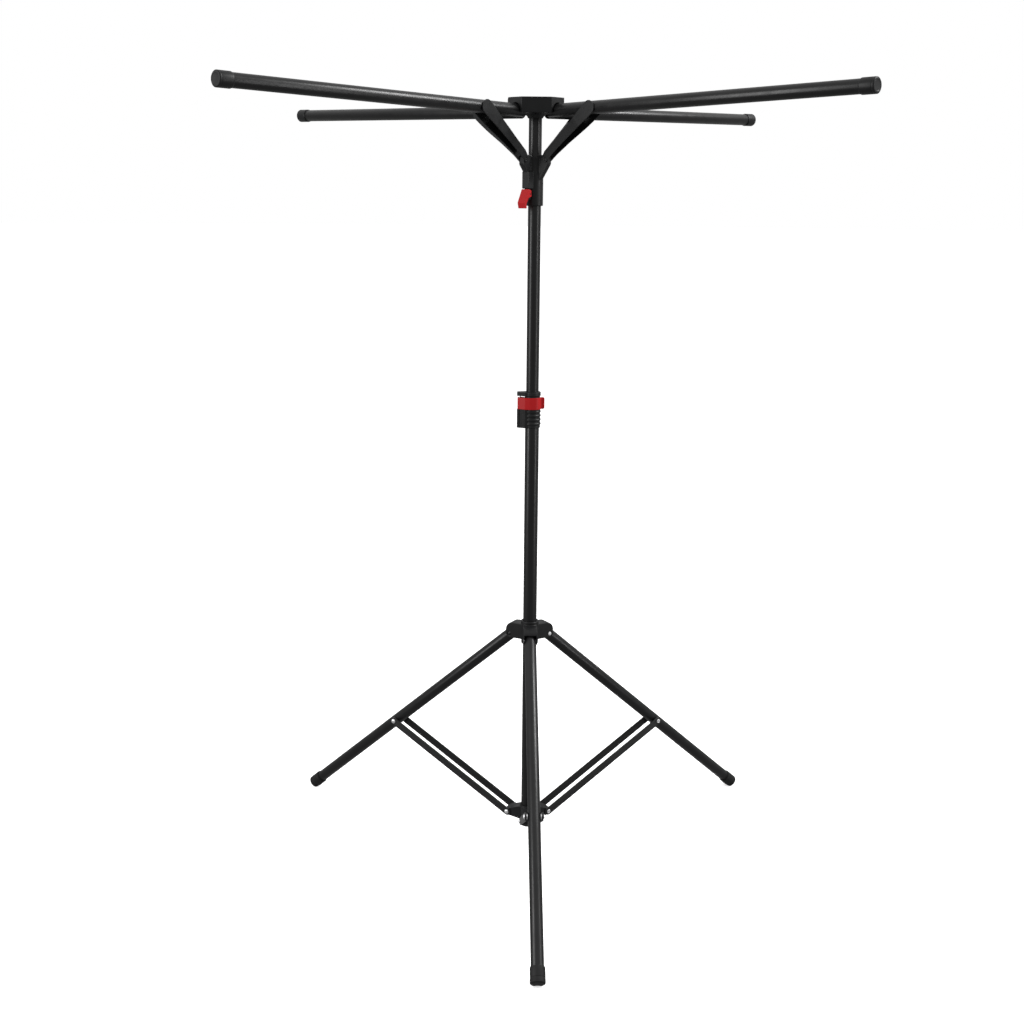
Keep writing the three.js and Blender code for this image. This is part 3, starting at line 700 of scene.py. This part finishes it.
# ---------------------------------------------------------------- crown
EAR_HALF = 14
EAR_REACH = 49
CROWN_R = 18.5
CROWN_COLLAR_R = 17.5
KNOB_BOSS_R = 8.5
RIVET_R = 3
RIVET_HOLE = 3.1
PIN_TAIL, PIN_SEAT, PIN_END = 11, 12.8, 14.1
PIN_HEAD_R = 3.8
crown_low = CROWN_LOW.z
ear_bottom = crown_low + 9
ear_roof = crown_low + 41
crown_ear = [
    (0, ear_bottom), (EAR_REACH, ear_bottom, 7.4), (EAR_REACH, ear_roof, 15), (0, ear_roof + 1.5),
]
crown_adds = [
    lathe(
        [
            (0, crown_low), (CROWN_COLLAR_R, crown_low), (CROWN_COLLAR_R, ear_bottom),
            (CROWN_R, ear_bottom + 2), (CROWN_R, CROWN_HIGH.z - 1),
            (CROWN_COLLAR_R, CROWN_HIGH.z), (0, CROWN_HIGH.z),
        ]
    ),
    turned_z(rod_x(KNOB_BOSS_R, 0, KNOB_Z, 12, 25.5), KNOB_ANGLE),
]
crown_adds += [turned_z(slab(crown_ear, -EAR_HALF, EAR_HALF), angle) for angle in LEGS.values()]
slot_half = TUBE_R + GAP
swing = math.hypot(TUBE_TAIL, TUBE_R) + 2 * GAP
crown_cuts = [
    rod_z(LOWER_R + GAP, 0, 0, crown_low - 1, CROWN_HIGH.z + 1),
    turned_z(rod_x(RIVET_HOLE, 0, KNOB_Z, 10, 30), KNOB_ANGLE),
]
for angle in LEGS.values():
    for shape in (
        rod_y(swing, *LEG_PIVOT, -slot_half, slot_half),
        block(LEG_PIVOT[0] - swing, 70, -slot_half, slot_half, 430, LEG_PIVOT[1]),
        rod_y(RIVET_HOLE, *LEG_PIVOT, -FAR, FAR),
        rod_y(4.4, *LEG_PIVOT, 12.4, FAR),
        rod_y(4.0, *LEG_PIVOT, -FAR, -12.6),
    ):
        crown_cuts.append(turned_z(shape, angle))
show("crown", moulded(crown_adds, crown_cuts, 0.65, 4), "crown", "black_plastic")
KNOB_R = 11.8
KNOB_STEM_R = 3
knob_start = LOWER_R + 0.6
knob_end = 46
knob_mesh = turned_piece_x(
    [
        (0, knob_start), (KNOB_STEM_R, knob_start), (KNOB_STEM_R, 25.9), (7, 25.9), (7, 28.5),
        (11, 30), (KNOB_R, 31.5), (KNOB_R, knob_end - 3), (10, knob_end - 0.6), (7, knob_end),
        (0, knob_end),
    ],
    0.8,
)
show("crown_lock_knob", knob_mesh, "crown_knob", "black_plastic", seat(KNOB_ANGLE, 0, KNOB_Z))

# ---------------------------------------------------------------- legs
FOOT_R = 14
FOOT_LENGTH = 30
FOOT_FLOOR = 4
leg_mesh = turned_piece_x(tube(TUBE_R, WALL, -TUBE_TAIL, LEG_LENGTH - FOOT_FLOOR - GAP), 0.4)
foot_start = LEG_LENGTH - FOOT_LENGTH
foot_mesh = turned_piece_x(
    [
        (TUBE_R + GAP, foot_start), (FOOT_R - 0.6, foot_start), (FOOT_R, foot_start + 1.8),
        (FOOT_R, LEG_LENGTH - 11), (FOOT_R - 0.4, LEG_LENGTH - 10.6),
        (FOOT_R - 0.4, LEG_LENGTH - 9.8), (FOOT_R, LEG_LENGTH - 9.4), (FOOT_R, LEG_LENGTH - 1.5),
        (FOOT_R - 1.5, LEG_LENGTH), (0, LEG_LENGTH), (0, LEG_LENGTH - FOOT_FLOOR),
        (TUBE_R + GAP, LEG_LENGTH - FOOT_FLOOR),
    ],
    0.7,
)
crown_pin = turned_piece_y(
    [
        (0, -PIN_TAIL), (RIVET_R, -PIN_TAIL), (RIVET_R, PIN_SEAT), (PIN_HEAD_R, PIN_SEAT),
        (PIN_HEAD_R, PIN_END), (0, PIN_END),
    ]
)
for side, angle in LEGS.items():
    where = seat(angle, *LEG_PIVOT, LEG_SLOPE)
    show(f"leg_{side}", leg_mesh, f"leg_{side}", "black_tube", where)
    foot = show(f"foot_cap_{side}", foot_mesh, f"leg_{side}", "black_rubber", where)
    # The rim is pressed level where it stands on the floor.
    for vertex in foot.data.vertices:
        vertex.co.z = max(vertex.co.z, CAD_BOX[0].z)
    show(f"crown_pin_{side}", crown_pin, "crown", "bright_steel", seat(angle, *LEG_PIVOT))

# ---------------------------------------------------------------- lower hub and braces
LUG_HALF = 14.7
hub_lug = [
    (0, 51), (30, 53.9, 10), (50, 55.5, 7.6), (50, 71.5, 7.8), (37, 71.8, 12), (13, 81, 5),
    (0, 81),
]
LOW_HUB_R = 17
low, high = LOW_HUB_LOW.z, LOW_HUB_HIGH.z
lower_adds = [
    lathe(
        [
            (0, low), (LOW_HUB_R - 3, low), (LOW_HUB_R, low + 3), (LOW_HUB_R, high - 1),
            (LOW_HUB_R - 1, high), (0, high),
        ]
    )
]
lower_adds += [turned_z(slab(hub_lug, -LUG_HALF, LUG_HALF), angle) for angle in LEGS.values()]
lower_cuts = [rod_z(LOWER_R + GAP, 0, 0, LOWER_LOW.z - GAP, high + 1)]
lower_cuts += [turned_z(rod_y(RIVET_HOLE, *BRACE_PIVOT, -FAR, FAR), angle) for angle in LEGS.values()]
show("lower_hub", moulded(lower_adds, lower_cuts, 0.65, 4), "base", "black_plastic")

BAR_IN = 15.0
BAR_THICKNESS = 2.5
BAR_OUT = BAR_IN + BAR_THICKNESS
BAR_ROUND = 7.95  # just under half the bar's width, so the ends stay closed
RIVET_SEAT = BAR_OUT + GAP
RIVET_HEAD_R = 5
ROLLED_R = 4.2
ROLLED_BORE = 2.1


def domed(start):
    """A rivet's domed end, outwards from a profile's first points."""
    top = RIVET_SEAT
    return start + [
        (RIVET_R, top), (RIVET_HEAD_R, top), (RIVET_HEAD_R, top + 0.9), (4.2, top + 2.1),
        (2.4, top + 3), (0, top + 3.2),
    ]


def rolled(start):
    """A rivet's hollow rolled end."""
    top = RIVET_SEAT
    return start + [
        (RIVET_R, top), (ROLLED_R, top), (ROLLED_R, top + 1), (3.3, top + 1.8),
        (ROLLED_BORE, top + 1.4), (ROLLED_BORE, top - 2), (0, top - 2),
    ]


MIDDLE = [(0, -5), (RIVET_R, -5)]
COLLAR = [
    (0, TUBE_R + GAP), (RIVET_HEAD_R, TUBE_R + GAP), (RIVET_HEAD_R, BAR_IN - GAP),
    (RIVET_R, BAR_IN - GAP),
]


def through_rivet(head):
    """A rivet right through the lower hub, its domed end towards head * Y."""
    shapes = [along_y(lathe(softened(domed(MIDDLE), 0.4), 48), head),
              along_y(lathe(softened(rolled(MIDDLE), 0.4), 48), -head)]
    return finished(combined(shapes), 60)


def bar(sign):
    """A flat brace bar with a hole at each end, on the sign * Y side of its leg."""
    ends = [
        (-BAR_HALF, -BAR_HALF, BAR_ROUND), (BAR_LENGTH + BAR_HALF, -BAR_HALF, BAR_ROUND),
        (BAR_LENGTH + BAR_HALF, BAR_HALF, BAR_ROUND), (-BAR_HALF, BAR_HALF, BAR_ROUND),
    ]
    low_y, high_y = sorted((sign * BAR_IN, sign * BAR_OUT))
    holes = [rod_y(RIVET_HOLE, x, 0, -FAR, FAR, 48) for x in (0, BAR_LENGTH)]
    return machined([slab(ends, low_y, high_y)], holes, 0.45)


bars = {"a": bar(1), "b": bar(-1)}
for side, angle in LEGS.items():
    head = HEAD_SIDE[side]
    brace = f"brace_{side}"
    where = seat(angle, *BRACE_PIVOT, -BAR_SLOPE)
    at_leg = seat(angle, *LEG_JOINT)
    for letter, bar_mesh in bars.items():
        show(f"brace_bar_{side}_{letter}", bar_mesh, brace, "black_bar", where)
    show(f"hub_rivet_{side}", through_rivet(head), "base", "bright_steel",
         seat(angle, *BRACE_PIVOT))
    show(f"leg_rivet_{side}_head", turned_piece_y(domed(COLLAR), head), brace,
         "bright_steel", at_leg)
    show(f"leg_rivet_{side}_tail", turned_piece_y(rolled(COLLAR), -head), brace,
         "bright_steel", at_leg)

# ---------------------------------------------------------------- floor, light and camera
FLOOR_R = 60.0
FLOOR_DROP = 0.0005  # metres under the feet, so the two never share a plane
disc = bpy.data.meshes.new("floor")
ring_points = [
    (FLOOR_R * math.cos(math.tau * k / 64), FLOOR_R * math.sin(math.tau * k / 64), 0)
    for k in range(64)
]
disc.from_pydata(ring_points, [], [tuple(range(64))])
floor = bpy.data.objects.new("floor", disc)
bpy.context.scene.collection.objects.link(floor)
floor.location.z = CAD_BOX[0].z - FLOOR_DROP
paper = bpy.data.materials.new("paper")
paper.use_nodes = True
paper_shader = paper.node_tree.nodes["Principled BSDF"]
paper_shader.inputs["Base Color"].default_value = (0.93, 0.93, 0.93, 1)
paper_shader.inputs["Roughness"].default_value = 0.9
paper_shader.inputs["Emission Color"].default_value = (1, 1, 1, 1)
paper_shader.inputs["Emission Strength"].default_value = 0.5
disc.materials.append(paper)
# The floor is seen white but throws no light back up on the black parts.
floor.visible_glossy = False
floor.visible_diffuse = False

world = bpy.data.worlds.new("studio")
bpy.context.scene.world = world
world.use_nodes = True
sky, sky_links = world.node_tree.nodes, world.node_tree.links
backdrop = sky["Background"]
above = sky.new("ShaderNodeTexCoord")
split = sky.new("ShaderNodeSeparateXYZ")
lift = sky.new("ShaderNodeMapRange")
lift.inputs["From Min"].default_value = 0.0
lift.inputs["From Max"].default_value = 0.8
lift.inputs["To Min"].default_value = 0.34
lift.inputs["To Max"].default_value = 1.0
seen = sky.new("ShaderNodeLightPath")
choose = sky.new("ShaderNodeMix")
choose.inputs["B"].default_value = 1.0
sky_links.new(above.outputs["Generated"], split.inputs["Vector"])
sky_links.new(split.outputs["Z"], lift.inputs["Value"])
sky_links.new(seen.outputs["Is Camera Ray"], choose.inputs["Factor"])
sky_links.new(lift.outputs["Result"], choose.inputs["A"])
sky_links.new(choose.outputs["Result"], backdrop.inputs["Strength"])
backdrop.inputs["Color"].default_value = (1, 1, 1, 1)

YAW = math.radians(43.67)
AIM_HEIGHT = 0.85


def softbox(name, azimuth, distance, height, width, tall, power):
    """A tall soft light; azimuth is measured from the camera's side, positive to its right."""
    light = bpy.data.lights.new(name, "AREA")
    light.shape = "RECTANGLE"
    light.size = width
    light.size_y = tall
    light.energy = power
    lamp = bpy.data.objects.new(name, light)
    bpy.context.scene.collection.objects.link(lamp)
    turn = YAW - math.pi / 2 + math.radians(azimuth)
    lamp.location = (distance * math.cos(turn), distance * math.sin(turn), height)
    aim_at = Vector((0, 0, AIM_HEIGHT)) - lamp.location
    lamp.rotation_euler = aim_at.to_track_quat("-Z", "Y").to_euler()


softbox("left_box", -64, 3.4, 1.7, 0.8, 2.6, 74)
softbox("right_box", 66, 3.4, 1.3, 0.45, 2.6, 34)
softbox("key_box", 97, 3.0, 3.5, 0.9, 1.5, 120)

PITCH = 0.22795
ROLL = -0.0081
LENS = 48.02
CAMERA_AT = (-0.0387, -2.7061, 1.352)
camera_data = bpy.data.cameras.new("camera")
camera_data.sensor_width = 36
camera_data.lens = LENS
camera = bpy.data.objects.new("camera", camera_data)
bpy.context.scene.collection.objects.link(camera)
forward = Vector((0, math.cos(PITCH), -math.sin(PITCH)))
right = Vector((1, 0, 0))
down = Vector((0, -math.sin(PITCH), -math.cos(PITCH)))
image_x = right * math.cos(ROLL) + down * math.sin(ROLL)
image_y = right * math.sin(ROLL) - down * math.cos(ROLL)
axes = Matrix((image_x, image_y, -forward)).transposed().to_4x4()
camera.matrix_world = Matrix.Rotation(YAW, 4, "Z") @ Matrix.Translation(CAMERA_AT) @ axes
bpy.context.scene.camera = camera
bpy.context.scene.view_settings.view_transform = "Standard"
